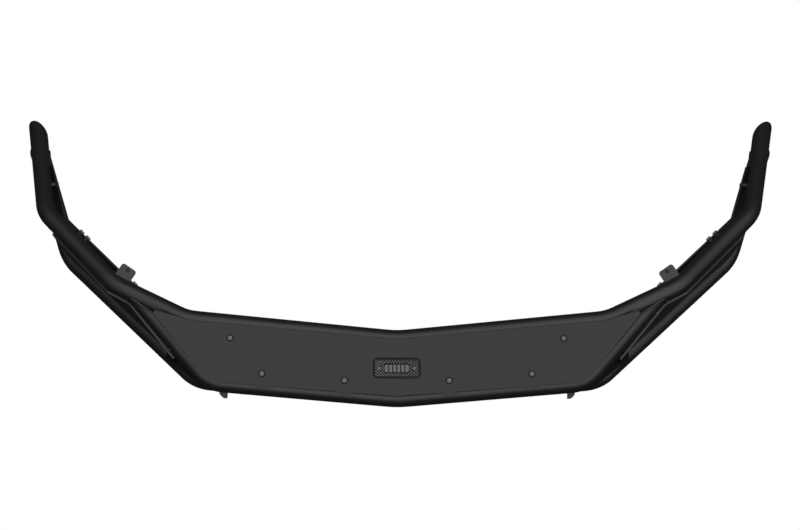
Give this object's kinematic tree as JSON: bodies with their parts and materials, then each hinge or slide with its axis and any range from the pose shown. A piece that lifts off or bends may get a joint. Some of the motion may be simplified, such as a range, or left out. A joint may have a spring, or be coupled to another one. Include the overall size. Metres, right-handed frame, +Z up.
{
  "type": "front grille guard",
  "caption": "Low wrap-around tubular grille guard with a flat centre plate, sheet-closed wings rising at both sides and slotted frame brackets.",
  "frame": {"origin": "centre of the four-hole frame bolt pattern, on the rear faces of the two frame brackets", "axes": "+Y back towards the truck and square to the bracket faces, +Z up, +X to the right as seen from in front; the guard is mirror-symmetric about X = 0 and longest along X"},
  "size_m": [2.071, 0.5914, 0.6932],
  "materials": {
    "black_powder_coat": "satin black powder coat",
    "black_hardware": "dark zinc",
    "badge_finish": "satin black"
  },
  "bodies": {
    "root": {"badge_bar": "badge_finish", "badge_plate": "badge_finish", "badge_screws": "black_hardware", "center_plate": "black_powder_coat", "center_plate_bolts": "black_hardware", "center_plate_nuts": "black_hardware", "center_plate_tabs": "black_powder_coat", "center_plate_washers": "black_hardware", "inner_panel_bolts": "black_hardware", "inner_panel_bosses": "black_powder_coat", "left_corner_gusset": "black_powder_coat", "left_frame_bracket": "black_powder_coat", "left_headlight_tab": "black_powder_coat", "left_inner_panel": "black_powder_coat", "left_mount_upright": "black_powder_coat", "left_return_tube": "black_powder_coat", "left_tip_cap": "black_powder_coat", "left_wing_panel": "black_powder_coat", "lower_frame_tube": "black_powder_coat", "mount_bolts": "black_hardware", "mount_nuts": "black_hardware", "mount_washers": "black_hardware", "right_corner_gusset": "black_powder_coat", "right_frame_bracket": "black_powder_coat", "right_headlight_tab": "black_powder_coat", "right_inner_panel": "black_powder_coat", "right_mount_upright": "black_powder_coat", "right_return_tube": "black_powder_coat", "right_tip_cap": "black_powder_coat", "right_wing_panel": "black_powder_coat", "tab_weld_nuts": "black_hardware", "upper_bow_tube": "black_powder_coat", "upright_webs": "black_powder_coat"}
  },
  "joints": []
}
